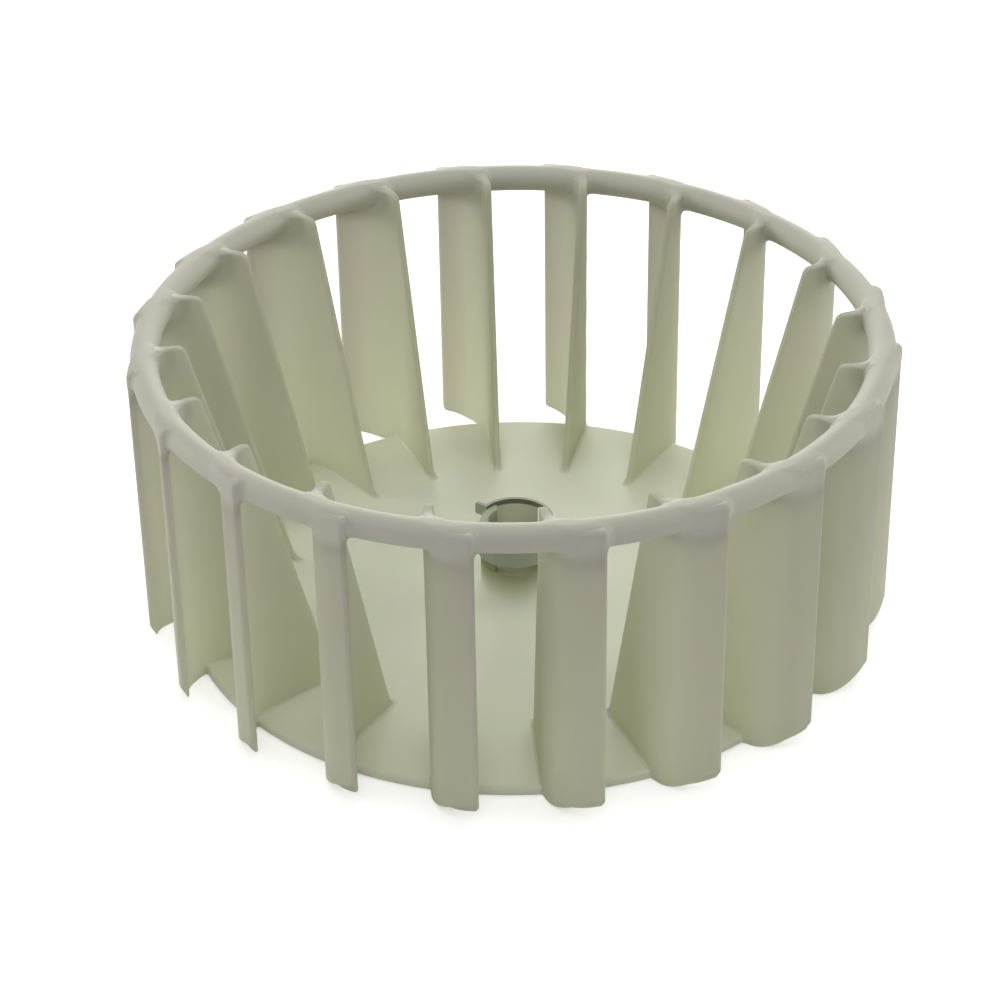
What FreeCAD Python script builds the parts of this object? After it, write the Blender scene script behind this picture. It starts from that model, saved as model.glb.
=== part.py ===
import FreeCAD, Part
import math
import os

# Blower wheel of a tumble dryer. It turns about Z, the open end with the hoop points up,
# and z is 0 at the underside. Sizes are in millimetres and degrees. A blade's azimuth is that of its tip.

# Wheel as a whole
wheelHeight = 74.5        # underside of the disc to the top of the hoop
tipRadius = 89.0          # outer corner of the blade tips
tipProud = 1.3            # the tips stand this far outside the hoop

# Disc
discInset = 9.8           # the rim lies this far inside the tips
discThickness = 2.5
discEdgeRadius = 0.7

# Hoop, a round rod bent to a ring
hoopRodRadius = 3.2
hoopProud = 1.0           # the hoop stands this far above the blades

# Blades
bladeCount = 20
firstTip = 12.6           # azimuth of the first blade's tip
bladeLead = 7.8           # the tip runs ahead of the blade's radial part by this angle
bladeWall = 1.8           # at the bend and the tip
innerWall = 1.3           # at the inner edge
bendRadius = 10.5         # outside of the bend from radial to tangential
insideBend = 11.5         # inside of the same bend, so that the belly is thicker
tipFlare = 16.0           # the last straight stretch opens outwards by this angle
floorWidth = 33.5         # from the tip in to the blade's inner edge, at the disc
topWidth = 13.7           # the same at the blade's top
tabCorner = 2.2           # rounding of the tab inside the hoop
footRadius = 4.5          # rounding where the inner edge runs out on the disc
footSink = 0.45           # this rounding ends so far below the disc's top face
riseStart = 2.3           # the free bottom edge runs level this far out from the disc's rim
riseRadius = 8.0          # then it curves up
riseAngle = 65.0          # until it climbs at this angle at the tip

# Hub, with a D-shaped bore
hubRadius = 8.4
hubHeight = 21.8
hubFootRadius = 3.0
hubTopRadius = 0.6
boreRadius = 6.35
flatOffset = 5.4          # the flat of the bore, from the axis
slotSide = 4.3            # the slots end this far from the axis, opposite the flat
slotDepth = 10.5

# Hub clamp, an open band of spring steel
clampGap = 0.05           # between the hub and the band
clampThickness = 0.8
clampWidth = 8.4
clampProud = 0.6          # the band stands this far above the hub
clampOpening = 46.0       # angle between the two ends
clampMiddle = 167.0       # azimuth of the middle of the opening
earLength = 2.6
earHeight = 3.0
earCorner = 0.4

# Values that follow from the sizes above
bladeTop = wheelHeight - hoopProud
discRadius = tipRadius - discInset
innerRadiusFloor = tipRadius - floorWidth
innerRadiusTop = tipRadius - topWidth
bladeRoot = innerRadiusFloor - 3 * footRadius   # inner end of the blade's section, past its foot
hoopRadius = tipRadius - tipProud - hoopRodRadius
clampInside = hubRadius + clampGap
clampOutside = clampInside + clampThickness
clampTop = hubHeight + clampProud
clampBottom = clampTop - clampWidth


def polar(radius, azimuth):
    """Point in the plane z = 0."""
    turn = math.radians(azimuth)
    return FreeCAD.Vector(radius * math.cos(turn), radius * math.sin(turn), 0)


def meetingPoint(start, direction, otherStart, otherDirection):
    """Where two straight lines of one plane cross."""
    normal = direction.cross(otherDirection)
    reach = (otherStart - start).cross(otherDirection).dot(normal) / normal.dot(normal)
    return start + direction * reach


def roundedFace(corners):
    """Flat face with straight sides; each corner is a point and the radius of its rounding."""
    edges = []
    ends = []
    for index, (corner, radius) in enumerate(corners):
        before = (corners[index - 1][0] - corner).normalize()
        after = (corners[(index + 1) % len(corners)][0] - corner).normalize()
        if radius == 0:
            ends.append((corner, corner))
            continue
        half = before.getAngle(after) / 2
        start = corner + before * (radius / math.tan(half))
        end = corner + after * (radius / math.tan(half))
        centre = corner + (before + after).normalize() * (radius / math.sin(half))
        middle = centre + (corner - centre).normalize() * radius
        edges.append(Part.Arc(start, middle, end).toShape())
        ends.append((start, end))
    for index, (start, _) in enumerate(ends):
        edges.append(Part.LineSegment(ends[index - 1][1], start).toShape())
    return Part.Face(Part.Wire(Part.__sortEdges__(edges)))


def revolvedSolid(profile):
    """Full turn about Z of a profile given as radius, height and corner rounding."""
    corners = [(FreeCAD.Vector(radius, 0, height), rounding) for radius, height, rounding in profile]
    return roundedFace(corners).revolve(FreeCAD.Vector(0, 0, 0), FreeCAD.Vector(0, 0, 1), 360)


def discAndHub():
    """Disc with the solid hub on it, in one turned profile."""
    return revolvedSolid([
        (0, 0, 0),
        (discRadius, 0, discEdgeRadius),
        (discRadius, discThickness, discEdgeRadius),
        (hubRadius, discThickness, hubFootRadius),
        (hubRadius, hubHeight, hubTopRadius),
        (0, hubHeight, 0),
    ])


def hubCuts():
    """What the D-shaped bore and the two slots take out of the hub."""
    reach = 2 * hubRadius
    length = 2 * hubHeight
    bore = Part.makeCylinder(boreRadius, length, FreeCAD.Vector(0, 0, -hubHeight / 2))
    besideFlat = FreeCAD.Vector(-reach, -reach, -hubHeight / 2)
    bore = bore.common(Part.makeBox(reach + flatOffset, 2 * reach, length, besideFlat))
    slotFloor = FreeCAD.Vector(-slotSide, -reach, hubHeight - slotDepth)
    slots = Part.makeBox(slotSide + flatOffset, 2 * reach, 2 * slotDepth, slotFloor)
    return bore.fuse(slots)


def hoop():
    """Round hoop that joins the blades at the open end."""
    return Part.makeTorus(hoopRadius, hoopRodRadius, FreeCAD.Vector(0, 0, wheelHeight - hoopRodRadius))


def bladeSection():
    """Section of the blade whose tip is at azimuth 0: a radial part, a bend and a short flared stretch."""
    radial = polar(1, -bladeLead)
    clockwise = polar(1, -bladeLead - 90)
    tipDirection = polar(1, 90 - tipFlare)
    outerTip = polar(tipRadius, 0)
    innerTip = outerTip + polar(bladeWall, 180 - tipFlare)
    outerStart = radial * bladeRoot + clockwise * (innerWall / 2)
    innerStart = radial * bladeRoot - clockwise * (innerWall / 2)
    outerSide = radial * tipRadius + clockwise * (bladeWall / 2) - outerStart
    innerSide = radial * tipRadius - clockwise * (bladeWall / 2) - innerStart
    outerBend = meetingPoint(outerStart, outerSide, outerTip, tipDirection)
    innerBend = meetingPoint(innerStart, innerSide, innerTip, tipDirection)
    return roundedFace([
        (outerStart, 0),
        (outerBend, bendRadius),
        (outerTip, 0),
        (innerTip, 0),
        (innerBend, insideBend),
        (innerStart, 0),
    ])


def bladeEnvelope():
    """Turned solid that gives a blade its sloping inner edge, its tab, its foot and its rising bottom edge."""
    outside = tipRadius + bladeWall
    floor = discThickness - footSink
    climb = math.radians(riseAngle)
    riseCorner = discRadius + riseStart + riseRadius * math.tan(climb / 2)
    return revolvedSolid([
        (bladeRoot, 0, 0),
        (riseCorner, 0, riseRadius),
        (outside, math.tan(climb) * (outside - riseCorner), 0),
        (outside, bladeTop, 0),
        (innerRadiusTop, bladeTop, tabCorner),
        (innerRadiusFloor, floor, footRadius),
        (bladeRoot, floor, 0),
    ])


def blades():
    """All blades, as copies of one turned about the axis."""
    prism = bladeSection().extrude(FreeCAD.Vector(0, 0, wheelHeight))
    first = prism.common(bladeEnvelope())
    copies = []
    for index in range(bladeCount):
        copy = first.copy()
        copy.rotate(FreeCAD.Vector(0, 0, 0), FreeCAD.Vector(0, 0, 1), firstTip + index * 360 / bladeCount)
        copies.append(copy)
    return copies


def blowerWheel():
    """Disc, hub, blades and hoop, moulded in one piece."""
    body = discAndHub().multiFuse(blades() + [hoop()])
    return body.cut(hubCuts()).removeSplitter()


def clampSector(inside, outside, bottom, height, start, end):
    """Piece of a round band between two azimuths."""
    foot = FreeCAD.Vector(0, 0, bottom)
    band = Part.makeCylinder(outside, height, foot, FreeCAD.Vector(0, 0, 1), end - start)
    band = band.cut(Part.makeCylinder(inside, height, foot))
    band.rotate(FreeCAD.Vector(0, 0, 0), FreeCAD.Vector(0, 0, 1), start)
    return band


def clampEar(azimuth, side, bottom):
    """Ear that stands out from one end of the band; side is 1 or -1, towards the band from its end."""
    root = clampInside + clampThickness / 2
    reach = clampOutside + earLength
    face = roundedFace([
        (FreeCAD.Vector(root, 0, bottom), 0),
        (FreeCAD.Vector(reach, 0, bottom), earCorner),
        (FreeCAD.Vector(reach, 0, bottom + earHeight), earCorner),
        (FreeCAD.Vector(root, 0, bottom + earHeight), 0),
    ])
    ear = face.extrude(FreeCAD.Vector(0, side * clampThickness, 0))
    ear.rotate(FreeCAD.Vector(0, 0, 0), FreeCAD.Vector(0, 0, 1), azimuth)
    return ear


def hubClamp():
    """Open spring band with one ear at each end, one ear high and one low so that they pass each other."""
    start = clampMiddle + clampOpening / 2 - 360
    end = clampMiddle - clampOpening / 2
    band = clampSector(clampInside, clampOutside, clampBottom, clampWidth, start, end)
    highEar = clampEar(end, -1, clampTop - earHeight)
    lowEar = clampEar(start, 1, clampBottom)
    return band.multiFuse([highEar, lowEar]).removeSplitter()


def main():
    """Write each piece to its own file."""
    os.makedirs("parts", exist_ok=True)
    pieces = {"blower_wheel": blowerWheel(), "hub_clamp": hubClamp()}
    for name, shape in pieces.items():
        solid = shape.Solids[0]
        print(name, "solids", len(shape.Solids), "valid", solid.isValid(), "volume", round(solid.Volume, 1))
        solid.exportStep("parts/" + name + ".step")


main()
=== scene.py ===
import bpy
import numpy as np
from mathutils import Matrix, Vector


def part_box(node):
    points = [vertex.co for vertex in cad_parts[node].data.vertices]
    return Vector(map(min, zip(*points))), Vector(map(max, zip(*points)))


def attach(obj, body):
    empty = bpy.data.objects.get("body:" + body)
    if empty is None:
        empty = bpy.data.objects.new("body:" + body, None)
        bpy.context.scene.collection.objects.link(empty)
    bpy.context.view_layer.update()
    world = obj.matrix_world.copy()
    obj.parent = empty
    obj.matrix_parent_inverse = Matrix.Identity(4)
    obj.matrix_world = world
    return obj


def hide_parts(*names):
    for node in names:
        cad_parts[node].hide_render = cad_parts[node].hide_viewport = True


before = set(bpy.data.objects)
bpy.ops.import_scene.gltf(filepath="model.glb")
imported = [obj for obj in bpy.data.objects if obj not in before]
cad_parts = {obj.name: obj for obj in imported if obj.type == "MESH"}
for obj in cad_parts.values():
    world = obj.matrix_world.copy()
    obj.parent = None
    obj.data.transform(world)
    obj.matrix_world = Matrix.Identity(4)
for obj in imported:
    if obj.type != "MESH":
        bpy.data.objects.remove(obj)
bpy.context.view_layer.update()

# Blower wheel of a tumble dryer: a disc with a split hub, bent blades and a round hoop, all one
# moulding in ivory plastic, and a spring steel band that clamps the hub on the motor's shaft.
# Everything is in metres, z is the wheel's axis and the disc stands on z = 0.

mm = 0.001
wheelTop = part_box("blower_wheel")[1].z
straightUp = np.array([0, 0, 1])


# Shapes

def direction(degrees):
    # unit vector in the plane, by its azimuth
    turn = np.radians(degrees)
    return np.array([np.cos(turn), np.sin(turn)])


def crossed(first, second):
    # cross product of two vectors of the plane
    return first[0] * second[1] - first[1] * second[0]


def crossing(start, along, otherStart, otherAlong):
    # the point where two straight lines of the plane meet, from the two cross products
    return start + along * crossed(otherStart - start, otherAlong) / crossed(along, otherAlong)


def cornerArc(corner, before, after, radius, count):
    # circle of that radius that touches the two sides of a corner; before and after point along
    # the sides, away from the corner, and the points run from the first side to the second
    before = before / np.linalg.norm(before)
    after = after / np.linalg.norm(after)
    middle = (before + after) / np.linalg.norm(before + after)
    half = np.arccos(np.clip(before @ after, -1, 1)) / 2
    centre = corner + middle * radius / np.sin(half)
    first = corner + before * radius / np.tan(half) - centre
    last = corner + after * radius / np.tan(half) - centre
    sweep = np.pi - 2 * half
    share = np.linspace(0, 1, count)[:, None]
    return centre + (first * np.sin((1 - share) * sweep) + last * np.sin(share * sweep)) / np.sin(sweep)


def roundedProfile(corners, arcCount, support):
    # closed line of straight sides and corner arcs; each corner is x, y and its radius, and a
    # support point on each side keeps the shading of the flat part flat
    points = []
    for index, (x, y, radius) in enumerate(corners):
        corner = np.array([x, y])
        before = np.array(corners[index - 1][:2]) - corner
        after = np.array(corners[(index + 1) % len(corners)][:2]) - corner
        arc = cornerArc(corner, before, after, radius, arcCount)
        points.append(arc[0] + before / np.linalg.norm(before) * support)
        points.extend(arc)
        points.append(arc[-1] + after / np.linalg.norm(after) * support)
    return np.array(points)


def gridFaces(rows, columns, wrapRows=False):
    # the four corners of every cell of a grid that is stored row by row, each row a closed loop
    row = np.arange(rows if wrapRows else rows - 1)[:, None]
    column = np.arange(columns)[None, :]
    nextColumn = (column + 1) % columns
    here = row * columns
    beyond = (row + 1) % rows * columns
    corners = [here + column, here + nextColumn, beyond + nextColumn, beyond + column]
    return np.stack(corners, axis=-1).reshape(-1, 4)


def capFaces(columns, start, upwards):
    # strip of cells that closes a loop whose two halves mirror each other, point 0 beside the last
    near = np.arange(columns // 2 - 1)
    far = columns - 1 - near
    corners = [near, near + 1, far - 1, far] if upwards else [far, far - 1, near + 1, near]
    return np.stack(corners, axis=-1) + start


def closedFaces(rows, columns):
    # a grid of closed loops with a cap at each end
    return np.concatenate([
        gridFaces(rows, columns),
        capFaces(columns, 0, False),
        capFaces(columns, (rows - 1) * columns, True),
    ])


def addPiece(name, points, faces, material, slotName):
    # one mesh from whole arrays, smooth, facing outwards, riding on the wheel's only body
    mesh = bpy.data.meshes.new(name)
    points = np.asarray(points, float).reshape(-1, 3)
    faces = np.asarray(faces, int)
    a, b, c, d = (points[faces[:, k]] for k in range(4))
    volume = (np.cross(b - a, c - a) * a).sum() + (np.cross(c - a, d - a) * a).sum()
    mesh.from_pydata(points.tolist(), [], (faces if volume > 0 else faces[:, ::-1]).tolist())
    mesh.polygons.foreach_set("use_smooth", np.ones(len(mesh.polygons), bool))
    mesh.materials.append(material)
    mesh.validate()
    mesh.update()
    piece = bpy.data.objects.new(name, mesh)
    bpy.context.scene.collection.objects.link(piece)
    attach(piece, "root")
    print(name, len(mesh.polygons), "faces")
    return piece


# Finishes

def newMaterial(name):
    # a material with its nodes and its links
    material = bpy.data.materials.new(name)
    material.use_nodes = True
    return material, material.node_tree.nodes, material.node_tree.links


def objectNoise(nodes, links, scale, detail=2.0, stretch=(1, 1, 1)):
    # noise on Object coordinates; stretch below 1 draws it out along that axis
    place = nodes.new("ShaderNodeTexCoord")
    mapping = nodes.new("ShaderNodeMapping")
    noise = nodes.new("ShaderNodeTexNoise")
    mapping.inputs["Scale"].default_value = stretch
    noise.inputs["Scale"].default_value = scale
    noise.inputs["Detail"].default_value = detail
    links.new(place.outputs["Object"], mapping.inputs["Vector"])
    links.new(mapping.outputs["Vector"], noise.inputs["Vector"])
    return noise.outputs["Fac"]


def feed(links, value, socket):
    # what another node gives is linked, a colour or a number is set
    if isinstance(value, bpy.types.NodeSocket):
        links.new(value, socket)
    else:
        socket.default_value = (*value, 1) if isinstance(value, tuple) else value


def mixColours(nodes, links, share, first, second, blend="MIX"):
    # the first colour, changed towards the second by the share, or multiplied by it
    mix = nodes.new("ShaderNodeMix")
    mix.data_type = "RGBA"
    mix.blend_type = blend
    feed(links, share, mix.inputs["Factor"])
    feed(links, first, mix.inputs["A"])
    feed(links, second, mix.inputs["B"])
    return mix.outputs["Result"]


def calculated(nodes, links, operation, first, second):
    # one sum, product or other operation on two values
    result = nodes.new("ShaderNodeMath")
    result.operation = operation
    feed(links, first, result.inputs[0])
    feed(links, second, result.inputs[1])
    return result.outputs[0]


def product(nodes, links, *shares):
    # all the shares multiplied together
    result = shares[0]
    for share in shares[1:]:
        result = calculated(nodes, links, "MULTIPLY", result, share)
    return result


def smoothStep(nodes, links, value, low, high, first, last):
    # goes softly from the first number to the last while the value goes from low to high
    step = nodes.new("ShaderNodeMapRange")
    step.interpolation_type = "SMOOTHSTEP"
    feed(links, value, step.inputs["Value"])
    for name, number in {"From Min": low, "From Max": high, "To Min": first, "To Max": last}.items():
        step.inputs[name].default_value = number
    return step.outputs["Result"]


def placeOnWheel(nodes, links):
    # x, height above the disc's underside and distance from the axis, from Object coordinates
    place = nodes.new("ShaderNodeTexCoord")
    split = nodes.new("ShaderNodeSeparateXYZ")
    flat = nodes.new("ShaderNodeVectorMath")
    flat.operation = "MULTIPLY"
    flat.inputs[1].default_value = (1, 1, 0)
    length = nodes.new("ShaderNodeVectorMath")
    length.operation = "LENGTH"
    links.new(place.outputs["Object"], split.inputs["Vector"])
    links.new(place.outputs["Object"], flat.inputs[0])
    links.new(flat.outputs["Vector"], length.inputs[0])
    return split.outputs["X"], split.outputs["Z"], length.outputs["Value"]


ivory = {
    "rosy": (0.640, 0.590, 0.522),     # the two colours of its faint clouds
    "leafy": (0.566, 0.602, 0.470),
    "cloudScale": 60,
    "cloudDetail": 3.0,
    "drawn": (0.583, 0.574, 0.484),    # faint streaks along the way that the mould opens
    "drawShare": 0.55,
    "drawScale": 330,
    "drawStretch": 0.035,
    "drawDepth": 0.012 * mm,
    "grainScale": 2600,                # fine grain of the mould
    "grainDepth": 0.02 * mm,
    "roughness": 0.6,
    "gloss": 0.3,
    "discPaintedLight": (1.13, 1.17, 1.11),    # painted light and shade by height: paler and greener at the disc than at the hoop
    "hoopPaintedShade": (0.83, 0.83, 0.82),    # than at the hoop
    "tipTint": (0.93, 0.91, 0.92),     # the tips are a little darker and rosier
    "tipSide": (84 * mm, 88 * mm),
    "through": (0.93, 0.93, 0.80),     # colour of the light that comes through a thin wall
    "throughTip": (0.84, 0.82, 0.74),  # and through a tip
    "throughShare": 0.43,
    "thinFromHoop": (3.6 * mm, 8 * mm),    # a blade lets light through this far from the hoop's rod
    "thinFromDisc": (2.2 * mm, 3.2 * mm),  # and this high above the disc,
    "thinOutside": (79 * mm, 80.5 * mm),   # or anywhere outside it
    "hubPaintedShade": (0.40, 0.42, 0.28),        # painted shade on the hub's wall, under the clamp
    "hubShadeRadius": (8.8 * mm, 11 * mm),
    "hubShadeLow": (4 * mm, 12 * mm),
    "hubShadeHigh": (14 * mm, 15.5 * mm),
    "jawPaintedShade": (0.62, 0.64, 0.57),          # painted shade on the jaw towards -x, beside the clamp
    "jawShadeSide": (-3.5 * mm, -4.5 * mm),
    "jawShadeRadius": (8.5 * mm, 8.6 * mm),
}


def distanceToHoop(nodes, links, height, radius):
    # from the middle line of the hoop's rod, in the plane of radius and height
    place = nodes.new("ShaderNodeCombineXYZ")
    apart = nodes.new("ShaderNodeVectorMath")
    apart.operation = "DISTANCE"
    links.new(radius, place.inputs["X"])
    links.new(height, place.inputs["Y"])
    links.new(place.outputs["Vector"], apart.inputs[0])
    apart.inputs[1].default_value = (hoop["ringRadius"], wheelTop - hoop["rodRadius"], 0)
    return apart.outputs["Value"]


def ivoryPlastic(name, thin):
    # satin moulded plastic; a thin wall lets part of the light through away from disc and hoop
    material, nodes, links = newMaterial(name)
    shader = nodes["Principled BSDF"]
    clouds = objectNoise(nodes, links, ivory["cloudScale"], ivory["cloudDetail"])
    colour = mixColours(nodes, links, clouds, ivory["rosy"], ivory["leafy"])
    streaks = objectNoise(nodes, links, ivory["drawScale"], stretch=(1, 1, ivory["drawStretch"]))
    streaked = product(nodes, links, streaks, ivory["drawShare"])
    colour = mixColours(nodes, links, streaked, colour, ivory["drawn"])
    sideways, height, radius = placeOnWheel(nodes, links)
    # painted light and shade by height: the colour is paler and greener low at the disc and darker up at
    # the hoop
    climb = smoothStep(nodes, links, height, 0, wheelTop, 0, 1)
    paintedHeightLight = mixColours(nodes, links, climb, ivory["discPaintedLight"], ivory["hoopPaintedShade"])
    colour = mixColours(nodes, links, 1.0, colour, paintedHeightLight, "MULTIPLY")
    atTip = smoothStep(nodes, links, radius, *ivory["tipSide"], 0, 1)
    colour = mixColours(nodes, links, atTip, colour, ivory["tipTint"], "MULTIPLY")
    # painted shade on the hub's wall under the clamp, fading out towards the disc
    near = smoothStep(nodes, links, radius, *ivory["hubShadeRadius"], 1, 0)
    over = smoothStep(nodes, links, height, *ivory["hubShadeLow"], 0, 1)
    under = smoothStep(nodes, links, height, *ivory["hubShadeHigh"], 1, 0)
    shadedUnderClamp = product(nodes, links, near, over, under)
    colour = mixColours(nodes, links, shadedUnderClamp, colour, ivory["hubPaintedShade"], "MULTIPLY")
    # painted shade on the top of the jaw towards -x
    aside = smoothStep(nodes, links, sideways, *ivory["jawShadeSide"], 0, 1)
    near = smoothStep(nodes, links, radius, *ivory["jawShadeRadius"], 1, 0)
    over = calculated(nodes, links, "SUBTRACT", 1.0, under)
    shadedJaw = product(nodes, links, near, over, aside)
    colour = mixColours(nodes, links, shadedJaw, colour, ivory["jawPaintedShade"], "MULTIPLY")
    links.new(colour, shader.inputs["Base Color"])
    grain = nodes.new("ShaderNodeBump")
    grain.inputs["Distance"].default_value = ivory["grainDepth"]
    links.new(objectNoise(nodes, links, ivory["grainScale"]), grain.inputs["Height"])
    drawn = nodes.new("ShaderNodeBump")
    drawn.inputs["Distance"].default_value = ivory["drawDepth"]
    links.new(streaks, drawn.inputs["Height"])
    links.new(grain.outputs["Normal"], drawn.inputs["Normal"])
    links.new(drawn.outputs["Normal"], shader.inputs["Normal"])
    shader.inputs["Roughness"].default_value = ivory["roughness"]
    shader.inputs["Specular IOR Level"].default_value = ivory["gloss"]
    if thin:
        through = nodes.new("ShaderNodeBsdfTranslucent")
        letThrough = mixColours(nodes, links, atTip, ivory["through"], ivory["throughTip"])
        links.new(letThrough, through.inputs["Color"])
        fromHoop = distanceToHoop(nodes, links, height, radius)
        high = smoothStep(nodes, links, fromHoop, *ivory["thinFromHoop"], 0, ivory["throughShare"])
        low = smoothStep(nodes, links, height, *ivory["thinFromDisc"], 0, 1)
        outside = smoothStep(nodes, links, radius, *ivory["thinOutside"], 0, 1)
        low = calculated(nodes, links, "MAXIMUM", low, outside)
        mix = nodes.new("ShaderNodeMixShader")
        links.new(product(nodes, links, low, high), mix.inputs["Fac"])
        links.new(shader.outputs["BSDF"], mix.inputs[1])
        links.new(through.outputs["BSDF"], mix.inputs[2])
        links.new(mix.outputs["Shader"], nodes["Material Output"].inputs["Surface"])
    return material


steel = {
    "colour": (0.38, 0.41, 0.32),
    "scuff": (0.29, 0.32, 0.25),
    "innerReflection": (0.88, 0.88, 0.68),      # painted reflection of the plastic, on the band's inner side
    "scuffScale": 900,
    "scuffDetail": 3.0,
    "scuffStretch": (1, 1, 4),
    "metallic": 0.35,
    "roughness": 0.5,
    "rim": (0.22, 0.225, 0.17),        # painted shade: the dark line inside the band's top edge
    "rimHeight": (20.9 * mm, 21.2 * mm),
    "innerSide": (8.5 * mm, 8.6 * mm),
}


def springSteel():
    # dull spring steel with a painted reflection of the plastic on its inner side and a painted shade line
    # inside its top edge
    material, nodes, links = newMaterial("spring_steel")
    shader = nodes["Principled BSDF"]
    scuffs = objectNoise(nodes, links, steel["scuffScale"], steel["scuffDetail"], steel["scuffStretch"])
    colour = mixColours(nodes, links, scuffs, steel["colour"], steel["scuff"])
    _, height, radius = placeOnWheel(nodes, links)
    above = smoothStep(nodes, links, height, *steel["rimHeight"], 0, 1)
    inside = smoothStep(nodes, links, radius, *steel["innerSide"], 1, 0)
    # painted reflection of the plastic on the band's inner side
    colour = mixColours(nodes, links, inside, colour, steel["innerReflection"])
    # painted shade: a dark line inside the band's top edge
    colour = mixColours(nodes, links, product(nodes, links, above, inside), colour, steel["rim"])
    links.new(colour, shader.inputs["Base Color"])
    shader.inputs["Metallic"].default_value = steel["metallic"]
    shader.inputs["Roughness"].default_value = steel["roughness"]
    return material


solidPlastic = ivoryPlastic("ivory_solid", False)
spring = springSteel()
print("materials made")


# Disc with the lower part of the hub

disc = {
    "radius": 79.2 * mm,
    "thickness": 2.5 * mm,
    "edge": 1.0 * mm,            # rounding of the rim
    "hubRadius": 8.4 * mm,
    "hubFoot": 3.0 * mm,         # rounding from the disc up to the hub
    "slotFloor": 11.3 * mm,      # the hub is whole up to here
    "smallEdge": 0.25 * mm,
    "boreRadius": 6.35 * mm,
    "boreFlat": 5.4 * mm,        # the bore's flat side, towards +x
    "smallCosine": 1e-6,
    "around": 720,
    "arcPoints": 8,
    "support": 0.2 * mm,         # a point this far past each corner keeps the flat parts flat
}


def boreOutline(azimuth):
    # distance from the axis to the wall of the bore: round, and cut straight towards +x, where it
    # is the flat's distance divided by the cosine
    towardsFlat = np.maximum(np.cos(azimuth), disc["smallCosine"])
    return np.minimum(disc["boreRadius"], disc["boreFlat"] / towardsFlat)


def discSurface():
    # lathe form: a closed profile of radius and height turned about the axis, where the inner
    # side of the profile follows the outline of the bore
    profile = roundedProfile([
        (disc["boreRadius"], 0, disc["smallEdge"]),
        (disc["radius"], 0, disc["edge"]),
        (disc["radius"], disc["thickness"], disc["edge"]),
        (disc["hubRadius"], disc["thickness"], disc["hubFoot"]),
        (disc["hubRadius"], disc["slotFloor"], disc["smallEdge"]),
        (disc["boreRadius"], disc["slotFloor"], disc["smallEdge"]),
    ], disc["arcPoints"], disc["support"])
    azimuth = np.linspace(0, 2 * np.pi, disc["around"], endpoint=False)[:, None]
    atBore = profile[None, :, 0] < (disc["boreRadius"] + disc["hubRadius"]) / 2
    radius = profile[None, :, 0] + atBore * (boreOutline(azimuth) - disc["boreRadius"])
    height = np.broadcast_to(profile[None, :, 1], radius.shape)
    return np.stack([radius * np.cos(azimuth), radius * np.sin(azimuth), height], axis=-1)


discGrid = discSurface()
discFaces = gridFaces(*discGrid.shape[:2], wrapRows=True)
wheelDisc = addPiece("wheel_disc", discGrid, discFaces, solidPlastic, "ivory_plastic")
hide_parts("blower_wheel")


# Jaws, the split upper part of the hub

jaws = {
    "top": 21.8 * mm,
    "slotSide": 4.3 * mm,        # the slots end here, opposite the bore's flat
    "sink": 0.4 * mm,            # a jaw starts this far inside the hub's lower part
    "inset": 0.01 * mm,          # and its wall lies this far inside the hub's
    "edge": 0.35 * mm,           # rounding of the top edge
    "horn": 0.45 * mm,           # rounding of the corners in plan
    "points": 180,               # around one jaw
    "hornPoints": 12,
    "edgeRows": 6,
}


def evenPoints(line, count):
    # the same line with its points evenly spaced along it
    step = np.linalg.norm(np.diff(line, axis=0), axis=1)
    along = np.concatenate([[0], np.cumsum(step)])
    target = np.linspace(0, along[-1], count)
    return np.stack([np.interp(target, along, line[:, k]) for k in range(2)], axis=-1)


def arcBetween(centre, radius, first, last, count=40):
    # circle about a centre, from the bearing of one point to that of another by the shorter way
    start = np.arctan2(*(first - centre)[::-1])
    sweep = (np.arctan2(*(last - centre)[::-1]) - start + np.pi) % (2 * np.pi) - np.pi
    turn = start + sweep * np.linspace(0, 1, count)
    return centre + radius * np.stack([np.cos(turn), np.sin(turn)], axis=-1)


def hornRounding(circle, side, edge, inside):
    # centre of a small circle that touches a circle about the axis and the line x = side, and the
    # two points where it touches them; inside is 1 where the plastic is inside the circle, else -1
    distance = circle - inside * edge
    x = side + np.sign(side) * edge
    centre = np.array([x, np.sqrt(distance ** 2 - x ** 2)])
    return centre, centre * circle / distance, np.array([side, centre[1]])


def loopNormals(loop):
    # outward normals of closed loops that run anticlockwise, from the chord between neighbours
    chord = np.roll(loop, -1, axis=-2) - np.roll(loop, 1, axis=-2)
    chord /= np.linalg.norm(chord, axis=-1, keepdims=True)
    return np.stack([chord[..., 1], -chord[..., 0]], axis=-1)


def standingLoop(loop, low, high, edge, rows):
    # a closed loop carried straight up, whose top edge is rounded over a quarter circle
    turn = np.linspace(0, np.pi / 2, rows)
    inset = np.concatenate([[0, 0], edge * (1 - np.cos(turn))])
    height = np.concatenate([[low, high - 2 * edge], high - edge + edge * np.sin(turn)])
    flat = loop[None] - loopNormals(loop)[None] * inset[:, None, None]
    tall = np.broadcast_to(height[:, None, None], (*flat.shape[:2], 1))
    return np.concatenate([flat, tall], axis=-1)


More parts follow.
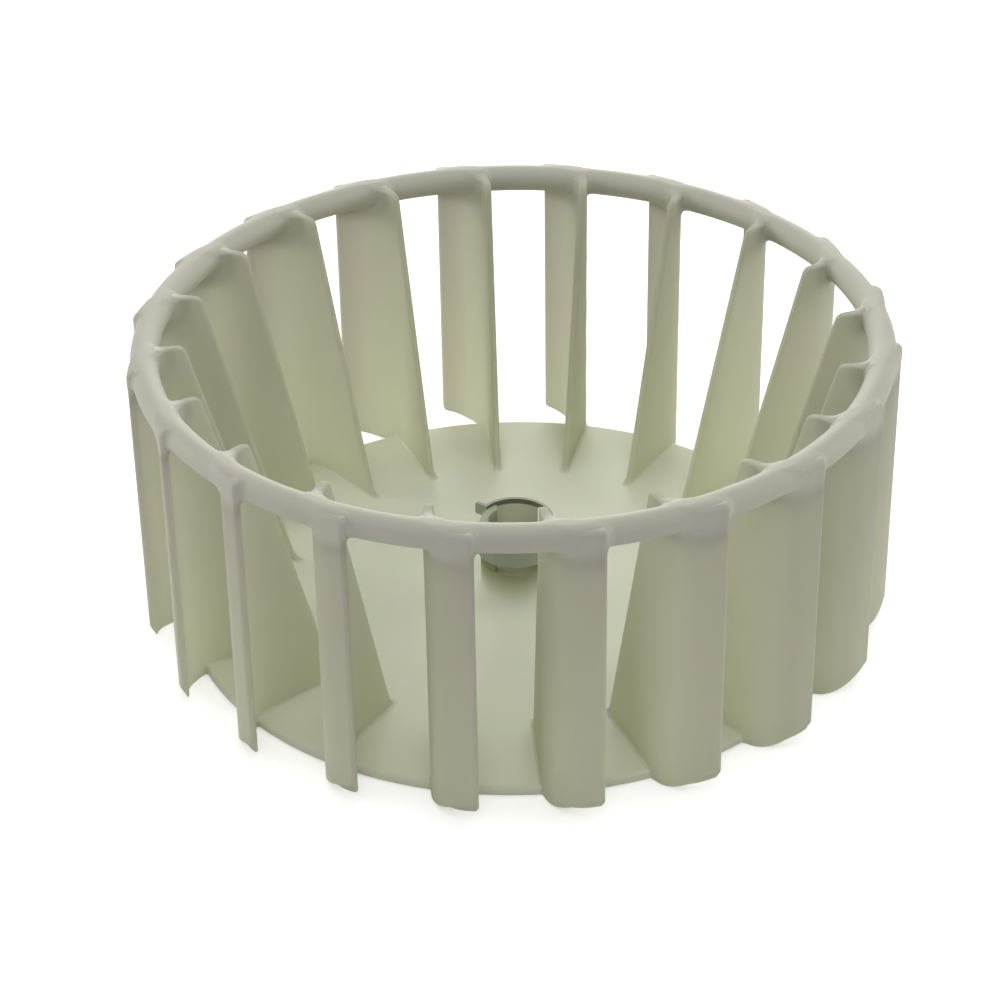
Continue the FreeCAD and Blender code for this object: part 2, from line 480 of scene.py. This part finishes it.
def jawLoop(side, innerCircle):
    # outline of one jaw, beyond the line x = side: the hub's circle outside, and inside either a
    # circle or the line itself; it starts at one horn, so that its two halves lie side by side
    hub = disc["hubRadius"] - jaws["inset"]
    mirror = np.array([1, -1])
    axis = np.zeros(2)
    centre, onHub, onSide = hornRounding(hub, side, jaws["horn"], 1)
    away = np.array([np.sign(side) * hub, 0])
    outer = [
        arcBetween(centre, jaws["horn"], onSide, onHub, jaws["hornPoints"]),
        arcBetween(axis, hub, onHub, away),
        arcBetween(axis, hub, away, onHub * mirror),
        arcBetween(centre * mirror, jaws["horn"], onHub * mirror, onSide * mirror, jaws["hornPoints"]),
    ]
    if innerCircle:
        centre, onBore, onSide = hornRounding(disc["boreRadius"], side, jaws["horn"], -1)
        away = np.array([np.sign(side) * disc["boreRadius"], 0])
        inner = [
            arcBetween(centre * mirror, jaws["horn"], onSide * mirror, onBore * mirror, jaws["hornPoints"]),
            arcBetween(axis, disc["boreRadius"], onBore * mirror, away),
            arcBetween(axis, disc["boreRadius"], away, onBore),
            arcBetween(centre, jaws["horn"], onBore, onSide, jaws["hornPoints"]),
        ]
        inner = [outer[-1][-1:]] + inner + [outer[0][:1]]
    else:
        inner = [outer[-1][-1:], outer[0][:1]]
    half = jaws["points"] // 2
    outer = evenPoints(np.concatenate(outer), half)
    inner = evenPoints(np.concatenate(inner), half + 2)[1:-1]
    loop = np.concatenate([outer, inner])
    area = crossed(loop.T, np.roll(loop, -1, axis=0).T).sum()
    return loop if area > 0 else loop[::-1]


for name, loop in {
    "hub_jaw_left": jawLoop(-jaws["slotSide"], True),
    "hub_jaw_right": jawLoop(disc["boreFlat"], False),
}.items():
    jawFoot = disc["slotFloor"] - jaws["sink"]
    jawGrid = standingLoop(loop, jawFoot, jaws["top"], jaws["edge"], jaws["edgeRows"])
    jaw = addPiece(name, jawGrid, closedFaces(*jawGrid.shape[:2]), solidPlastic, "ivory_plastic")
    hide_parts("blower_wheel")


# Hoop

hoop = {
    "rodRadius": 3.2 * mm,
    "ringRadius": 84.5 * mm,     # axis to the middle of the rod
    "around": 72,                # points from one blade to the next
    "section": 40,
    "blend": 2.1 * mm,           # width of the soft corner between hoop and blade
    "halvings": 16,              # steps in the search for it
    "ahead": 2 / 3,              # the stretch starts this share of a step before a blade's tip
    "outlinePoints": 1200,       # of the blade, where the hoop's distance to it is taken
}


# Blades

blade = {
    "count": 20,
    "firstTip": 12.6,            # azimuth of the first tip, in degrees
    "lead": 7.8,                 # the tip runs ahead of the radial part by this angle
    "tipRadius": 89.0 * mm,
    "wall": 1.8 * mm,            # at the bend and the tip
    "innerWall": 1.3 * mm,       # at the inner edge
    "outerBend": 10.5 * mm,
    "innerBend": 11.5 * mm,
    "tipFlare": 16,              # the last straight stretch opens outwards by this angle
    "floorWidth": 33.5 * mm,     # tip to inner edge, at the disc
    "topWidth": 13.7 * mm,       # tip to inner edge, at the top
    "belowHoop": 1.0 * mm,       # the blade's top lies this far under the hoop's
    "tabCorner": 2.2 * mm,
    "footRadius": 4.5 * mm,
    "footSink": 0.45 * mm,
    "riseStart": 2.3 * mm,       # the free bottom edge is level this far out from the disc's rim
    "riseRadius": 8.0 * mm,      # then it curves up
    "riseAngle": 65,             # to this slope
    "bottom": 0.05 * mm,
    "edge": 0.5 * mm,            # rounding of the top and bottom edges
    "tipEdge": 0.8 * mm,         # rounding of the tip's two corners
    "tipTop": 1.0 * mm,          # the tip's upper corner, seen from the side
    "tipTopDepth": 2.5 * mm,     # which draws the rows down to this far below the top
    "noseDepth": 0.6 * mm,       # the inner edge is a half ellipse this deep
    "discFlare": 0.6 * mm,       # soft corner where the blade stands on the disc
    "lowRows": (1.4 * mm, 2.05 * mm, 2.2 * mm),
    "footTop": 5.4 * mm,
    "middleRows": (7 * mm, 12 * mm, 24 * mm, 38 * mm, 52 * mm, 62 * mm),
    "tabRow": 0.5 * mm,          # above the start of the tab's corner
    "rowCounts": (5, 15, 6),     # at the foot, at the hoop and at the tab
    "arcRows": 5,                # over a rounded edge
    "sidePoints": 38,            # along one side, from the inner edge to the tip
    "straightShare": 0.62,       # a third of them lie on this share of it
    "bendPoints": 240,           # of the fine line that they are taken from
    "tipPoints": 60,
    "cornerPoints": 6,           # at each corner of the tip
    "noseTurns": (15, 40, 65),   # where the points of the nose lie, in degrees
    "halvings": 24,              # steps in the search for the soft corner at the disc
    "within": 0.02 * mm,         # nothing reaches nearer to the tip circle than this
}


def innerEdge(height):
    # distance of the inner edge from the axis, by height: a circle's arc off the disc, a straight
    # slope outwards and a circle's arc over the tab at the top
    low = disc["thickness"] - blade["footSink"]
    top = wheelTop - blade["belowHoop"]
    lowRadius = blade["tipRadius"] - blade["floorWidth"]
    topRadius = blade["tipRadius"] - blade["topWidth"]
    slope = np.array([topRadius - lowRadius, top - low])
    slope /= np.linalg.norm(slope)
    tangent = np.tan(np.arccos(-slope[0]) / 2)
    footCentre = np.array([lowRadius - blade["footRadius"] / tangent, low + blade["footRadius"]])
    tabCentre = np.array([topRadius + blade["tabCorner"] / tangent, top - blade["tabCorner"]])
    footEnd = footCentre[1] - blade["footRadius"] * slope[0]
    tabStart = tabCentre[1] + blade["tabCorner"] * slope[0]
    straight = lowRadius + (height - low) * slope[0] / slope[1]
    footReach = np.sqrt(np.clip(blade["footRadius"] ** 2 - (height - footCentre[1]) ** 2, 0, None))
    tabReach = np.sqrt(np.clip(blade["tabCorner"] ** 2 - (height - tabCentre[1]) ** 2, 0, None))
    radius = np.where(height < footEnd, footCentre[0] + footReach, straight)
    return np.where(height > tabStart, tabCentre[0] - tabReach, radius)


def bladeRows():
    # heights of the rows of one blade, close together at its edges, at the disc and at the hoop
    top = wheelTop - blade["belowHoop"]
    footCount, hoopCount, tabCount = blade["rowCounts"]
    turn = np.linspace(0, np.pi / 2, blade["arcRows"])
    flareRows = disc["thickness"] + blade["discFlare"] * (1 - np.cos(turn))
    footRows = np.linspace(flareRows[-1], blade["footTop"], footCount)[1:]
    hoopLow = wheelTop - 2 * hoop["rodRadius"] - hoop["blend"]
    hoopRows = np.linspace(hoopLow, top - blade["tabCorner"] + blade["tabRow"], hoopCount)
    tabRows = np.linspace(hoopRows[-1], top - blade["edge"], tabCount)[1:]
    height = np.concatenate([
        blade["bottom"] + blade["edge"] * (1 - np.sin(turn[::-1])),
        blade["lowRows"], flareRows, footRows, blade["middleRows"], hoopRows, tabRows,
        top - blade["edge"] * (1 - np.sin(turn[1:])),
    ])
    inset = np.zeros(len(height))
    inset[:len(turn)] = blade["edge"] * (1 - np.cos(turn[::-1]))
    inset[1 - len(turn):] = blade["edge"] * (1 - np.cos(turn[1:]))
    return height, inset


def sideLine(inner, side):
    # one face of the blade in plan, from the inner edge to the tip: straight, bend, straight;
    # side is 1 on the outside of the bend and -1 on the inside, and inner holds one start per row
    radial = direction(-blade["lead"])
    across = direction(-blade["lead"] - 90) * side
    tipLine = direction(90 - blade["tipFlare"])
    tip = blade["tipRadius"] * direction(0)
    if side < 0:
        tip = tip + direction(180 - blade["tipFlare"]) * blade["wall"]
    root = blade["tipRadius"] - blade["floorWidth"] - 3 * blade["footRadius"]
    rootPoint = radial * root + across * blade["innerWall"] / 2
    farPoint = radial * blade["tipRadius"] + across * blade["wall"] / 2
    corner = crossing(rootPoint, farPoint - rootPoint, tip, tipLine)
    bendRadius = blade["outerBend" if side > 0 else "innerBend"]
    bend = cornerArc(corner, rootPoint - corner, tip - corner, bendRadius, blade["bendPoints"])
    tipStart = tip - tipLine * blade["tipEdge"]
    straight = rootPoint + (bend[0] - rootPoint) * np.linspace(0, 1, blade["bendPoints"])[:-1, None]
    last = bend[-1] + (tipStart - bend[-1]) * np.linspace(0, 1, blade["tipPoints"])[1:, None]
    line = np.concatenate([straight, bend, last])
    along = np.concatenate([[0], np.cumsum(np.linalg.norm(np.diff(line, axis=0), axis=1))])
    first = np.interp(inner + blade["noseDepth"], np.linalg.norm(line, axis=1), along)
    onStraight = blade["sidePoints"] // 3
    share = np.concatenate([
        np.linspace(0, blade["straightShare"], onStraight, endpoint=False),
        np.linspace(blade["straightShare"], 1, blade["sidePoints"] - onStraight),
    ])
    place = first[:, None] + (along[-1] - first[:, None]) * share
    return np.stack([np.interp(place, along, line[:, k]) for k in range(2)], axis=-1)


def bladeLoops(inner):
    # closed loops in plan, one per row: half the nose, the outside of the bend, the tip with its
    # two rounded corners, the inside of the bend and the other half of the nose
    outer = sideLine(inner, 1)
    back = sideLine(inner, -1)
    tipLine = direction(90 - blade["tipFlare"])
    tipAcross = direction(-blade["tipFlare"])
    turn = np.linspace(0, np.pi / 2, blade["cornerPoints"])[1:]
    roll = np.sin(turn)[:, None] * tipLine - (1 - np.cos(turn))[:, None] * tipAcross
    outerTip = outer[:, -1:] + blade["tipEdge"] * roll[None]
    roll = np.sin(turn)[:, None] * tipLine + (1 - np.cos(turn))[:, None] * tipAcross
    backTip = back[:, -1:] + blade["tipEdge"] * roll[None]
    middle = (outer[:, :1] + back[:, :1]) / 2
    lean = np.radians(blade["noseTurns"])[:, None]
    inwards = -direction(-blade["lead"]) * blade["noseDepth"]
    outerNose = middle + (outer[:, :1] - middle) * np.sin(lean) + inwards * np.cos(lean)
    backNose = middle + (back[:, :1] - middle) * np.sin(lean) + inwards * np.cos(lean)
    wayBack = np.concatenate([backNose, back, backTip], axis=1)[:, ::-1]
    return np.concatenate([outerNose, outer, outerTip, wayBack], axis=1)


def discDistance(points):
    # distance to the disc's surface: a flat box in the plane of radius and height, rounded
    radius = np.hypot(points[..., 0], points[..., 1])
    out = radius - (disc["radius"] - disc["edge"])
    up = np.abs(points[..., 2] - disc["thickness"] / 2) - (disc["thickness"] / 2 - disc["edge"])
    outside = np.hypot(np.maximum(out, 0), np.maximum(up, 0))
    return outside + np.minimum(np.maximum(out, up), 0) - disc["edge"]


def hoopDistance(points):
    # distance to the hoop's surface: how far from the rod's middle line, less its radius
    radius = np.hypot(points[..., 0], points[..., 1])
    height = points[..., 2] - (wheelTop - hoop["rodRadius"])
    return np.hypot(radius - hoop["ringRadius"], height) - hoop["rodRadius"]


def flareOut(points, normals, reach, distance):
    # how far each point moves out along its normal so that the wall rounds into a neighbour: the
    # moved point lies on a circle of that radius that touches both, found by halving the interval
    low = np.zeros(points.shape[:-1])
    high = np.full(points.shape[:-1], reach)
    for _ in range(blade["halvings"]):
        middle = (low + high) / 2
        gap = np.clip(distance(points + normals * middle[..., None]), 0, reach)
        wanted = reach - np.sqrt(np.clip(reach ** 2 - (reach - gap) ** 2, 0, None))
        short = middle < wanted
        low = np.where(short, middle, low)
        high = np.where(short, high, middle)
    return (low + high) / 2


def blendOut(points, normals, width, distance):
    # how far each point moves out along its normal to the smooth union with a neighbour, where the
    # smaller of the two distances equals (width - their difference) squared / (4 width); found by
    # halving the interval, and both surfaces move a quarter of the width where they cross
    low = np.zeros(points.shape[:-1])
    high = np.full(points.shape[:-1], width / 4)
    for _ in range(hoop["halvings"]):
        own = (low + high) / 2
        other = distance(points + normals * own[..., None])
        gap = np.minimum(own, other) - np.clip(width - np.abs(own - other), 0, None) ** 2 / (4 * width)
        low = np.where(gap < 0, own, low)
        high = np.where(gap < 0, high, own)
    return (low + high) / 2


def bottomRise(radius):
    # height of the free bottom edge: level, then a circle's arc, then its tangent
    climb = np.radians(blade["riseAngle"])
    out = np.clip(radius - disc["radius"] - blade["riseStart"], 0, None)
    bent = np.minimum(out, blade["riseRadius"] * np.sin(climb))
    arc = blade["riseRadius"] - np.sqrt(blade["riseRadius"] ** 2 - bent ** 2)
    return arc + (out - bent) * np.tan(climb)


def bladeSurface():
    # rows of plan loops carried up the blade, pushed out where they round into disc and hoop,
    # drawn in at the top and bottom edges, and lifted along the free bottom edge outside the disc
    height, inset = bladeRows()
    top = wheelTop - blade["belowHoop"]
    loops = bladeLoops(innerEdge(height))
    normals = loopNormals(loops)
    lift = bottomRise(np.linalg.norm(loops, axis=-1))
    base = blade["bottom"]
    tall = base + lift + (height[:, None] - base) * (top - base - lift) / (top - base)
    points = np.concatenate([loops, tall[..., None]], axis=-1)
    sideways = np.concatenate([normals, np.zeros_like(tall)[..., None]], axis=-1)
    flare = np.maximum(
        flareOut(points, sideways, blade["discFlare"], discDistance),
        blendOut(points, sideways, hoop["blend"], hoopDistance),
    )
    points = points + sideways * (flare - inset[:, None])[..., None]
    points[-1, :, 2] += blendOut(points[-1], straightUp, hoop["blend"], hoopDistance)
    radius = np.linalg.norm(points[..., :2], axis=-1)
    reach = np.clip(radius - blade["tipRadius"] + blade["tipTop"], 0, blade["tipTop"])
    drop = blade["tipTop"] - np.sqrt(blade["tipTop"] ** 2 - reach ** 2)
    deep = blade["tipTopDepth"]
    points[..., 2] -= drop * np.clip((points[..., 2] - top + deep) / deep, 0, 1)
    points[..., :2] /= np.maximum(radius / (blade["tipRadius"] - blade["within"]), 1)[..., None]
    return points


def turnedCopies(points):
    # the same grid turned about the axis once for each blade's place
    place = blade["firstTip"] + np.arange(blade["count"]) * 360 / blade["count"]
    turn = np.radians(place)[:, None, None]
    x = points[None, ..., 0] * np.cos(turn) - points[None, ..., 1] * np.sin(turn)
    y = points[None, ..., 0] * np.sin(turn) + points[None, ..., 1] * np.cos(turn)
    z = np.broadcast_to(points[None, ..., 2], x.shape)
    return np.stack([x, y, z], axis=-1)


def bladeSet():
    # all blades and their faces
    single = bladeSurface()
    rows, columns = single.shape[:2]
    shift = np.arange(blade["count"])[:, None, None] * rows * columns
    return turnedCopies(single), (closedFaces(rows, columns)[None] + shift).reshape(-1, 4)


def bladeDistance(points):
    # distance to the first blade near the hoop: in plan from the nearest point of its outline,
    # joined with the height over its top
    outline = bladeLoops(innerEdge(np.array([wheelTop - 2 * hoop["rodRadius"]])))[0]
    outline = evenPoints(np.concatenate([outline, outline[:1]]), hoop["outlinePoints"] + 1)[:-1]
    normals = loopNormals(outline)
    apart = points[..., None, :2] - outline
    nearest = np.argmin((apart ** 2).sum(axis=-1), axis=-1)
    apart = np.take_along_axis(apart, nearest[..., None, None], axis=-2)[..., 0, :]
    flat = np.linalg.norm(apart, axis=-1) * np.sign((apart * normals[nearest]).sum(axis=-1))
    over = points[..., 2] - (wheelTop - blade["belowHoop"])
    return np.hypot(np.maximum(flat, 0), np.maximum(over, 0)) + np.minimum(np.maximum(flat, over), 0)


def hoopSurface():
    # torus: a circle of the rod's radius carried round the axis; one stretch from blade to blade is
    # moved out to its smooth union with the blade and then turned once for each place
    step = 360 / blade["count"]
    around = np.radians((np.arange(hoop["around"]) / hoop["around"] - hoop["ahead"]) * step)
    section = np.linspace(0, 2 * np.pi, hoop["section"], endpoint=False)[:, None]
    level = np.stack([np.cos(around), np.sin(around), 0 * around], axis=-1)[:, None]
    outward = level * np.cos(section) + straightUp * np.sin(section)
    middle = level * hoop["ringRadius"] + straightUp * (wheelTop - hoop["rodRadius"])
    stretch = middle + outward * hoop["rodRadius"]
    stretch += outward * blendOut(stretch, outward, hoop["blend"], bladeDistance)[..., None]
    stretch[..., 2] = np.minimum(stretch[..., 2], wheelTop)
    return turnedCopies(stretch).reshape(-1, hoop["section"], 3)


hoopGrid = hoopSurface()
hoopFaces = gridFaces(*hoopGrid.shape[:2], wrapRows=True)
wheelHoop = addPiece("wheel_hoop", hoopGrid, hoopFaces, solidPlastic, "ivory_plastic")
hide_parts("blower_wheel")

wallPlastic = ivoryPlastic("ivory_wall", True)
wheelBlades = addPiece("wheel_blades", *bladeSet(), wallPlastic, "ivory_plastic")
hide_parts("blower_wheel")


# Clamp

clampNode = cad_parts["hub_clamp"]
clampNode.data.materials.clear()
clampNode.data.materials.append(spring)
print("clamp finished")


# Camera, floor and light

view = {
    "place": (0.003858, -0.579225, 0.391720),
    "forward": (-0.0107805, 0.8464165, -0.5324124),
    "up": (0.0081904, 0.5325002, 0.8463902),
    "lens": 103.389,
    "sensor": 36.0,
    "nearest": 0.01,
}


def setCamera():
    # stands where the photo was taken from, as a fit to the wheel's own points gave it
    camera = bpy.data.objects.new("camera", bpy.data.cameras.new("camera"))
    camera.data.lens = view["lens"]
    camera.data.sensor_width = view["sensor"]
    forward = Vector(view["forward"]).normalized()
    right = forward.cross(Vector(view["up"])).normalized()
    turn = Matrix((right, right.cross(forward), -forward)).transposed()
    camera.matrix_world = Matrix.Translation(view["place"]) @ turn.to_4x4()
    camera.data.clip_start = view["nearest"]
    bpy.context.scene.collection.objects.link(camera)
    bpy.context.scene.camera = camera


floorLook = {
    "half": 1.3,
    "drop": 0.02 * mm,
    "colour": (0.9, 0.9, 0.9),
    "lift": 0.42,                # glow for camera and mirror rays only, so that it reads white
    "glow": (1, 1, 1),
    "roughness": 1.0,
    "gloss": 0.0,
}


def addFloor():
    # a flat sheet under the wheel, pale, with its own shade kept
    half = floorLook["half"]
    mesh = bpy.data.meshes.new("floor")
    corners = [(-half, -half), (half, -half), (half, half), (-half, half)]
    mesh.from_pydata([(x, y, -floorLook["drop"]) for x, y in corners], [], [(0, 1, 2, 3)])
    floor = bpy.data.objects.new("floor", mesh)
    bpy.context.scene.collection.objects.link(floor)
    material, nodes, links = newMaterial("pale_floor")
    shader = nodes["Principled BSDF"]
    shader.inputs["Base Color"].default_value = (*floorLook["colour"], 1)
    shader.inputs["Roughness"].default_value = floorLook["roughness"]
    shader.inputs["Specular IOR Level"].default_value = floorLook["gloss"]
    path = nodes.new("ShaderNodeLightPath")
    seen = calculated(nodes, links, "MAXIMUM", path.outputs["Is Camera Ray"], path.outputs["Is Glossy Ray"])
    shader.inputs["Emission Color"].default_value = (*floorLook["glow"], 1)
    links.new(product(nodes, links, seen, floorLook["lift"]), shader.inputs["Emission Strength"])
    mesh.materials.append(material)


lamps = {
    # place, aimed at the wheel, size and power
    "above": ((0.0, 0.0, 1.5), 1.2, 5.5),
    "front": ((0.0, -1.0, 1.25), 1.0, 4.5),
    "back": ((0.0, 1.4, 0.35), 1.0, 11.1),
    "left": ((-1.4, 0.3, 0.35), 1.0, 8.3),
    "right": ((1.4, 0.3, 0.35), 1.0, 7.8),
}


def addLamps():
    # round soft lamps, all aimed at the middle of the wheel
    target = Vector((0, 0, wheelTop / 2))
    for name, (place, size, power) in lamps.items():
        light = bpy.data.lights.new(name, "AREA")
        light.shape = "DISK"
        light.size = size
        light.energy = power
        lamp = bpy.data.objects.new(name, light)
        lamp.location = place
        lamp.rotation_euler = (target - Vector(place)).to_track_quat("-Z", "Y").to_euler()
        bpy.context.scene.collection.objects.link(lamp)


skyLook = {
    "colour": (1.0, 1.0, 1.0),
    "front": 0.22,               # strength on the camera's side
    "back": 0.52,                # and behind the wheel
    "seen": 1.0,                 # as the camera sees it
}


def setWorld():
    # soft light from all round, stronger from behind the wheel, and seen as white
    world = bpy.data.worlds.new("studio")
    bpy.context.scene.world = world
    world.use_nodes = True
    nodes, links = world.node_tree.nodes, world.node_tree.links
    background = nodes["Background"]
    background.inputs["Color"].default_value = (*skyLook["colour"], 1)
    way = nodes.new("ShaderNodeTexCoord")
    split = nodes.new("ShaderNodeSeparateXYZ")
    links.new(way.outputs["Generated"], split.inputs["Vector"])
    light = smoothStep(nodes, links, split.outputs["Y"], -1, 1, skyLook["front"], skyLook["back"])
    path = nodes.new("ShaderNodeLightPath")
    level = nodes.new("ShaderNodeMix")
    links.new(path.outputs["Is Camera Ray"], level.inputs["Factor"])
    links.new(light, level.inputs["A"])
    level.inputs["B"].default_value = skyLook["seen"]
    links.new(level.outputs["Result"], background.inputs["Strength"])


setCamera()
addFloor()
addLamps()
setWorld()
bpy.context.scene.view_settings.view_transform = "Standard"
print("camera, floor and light set")
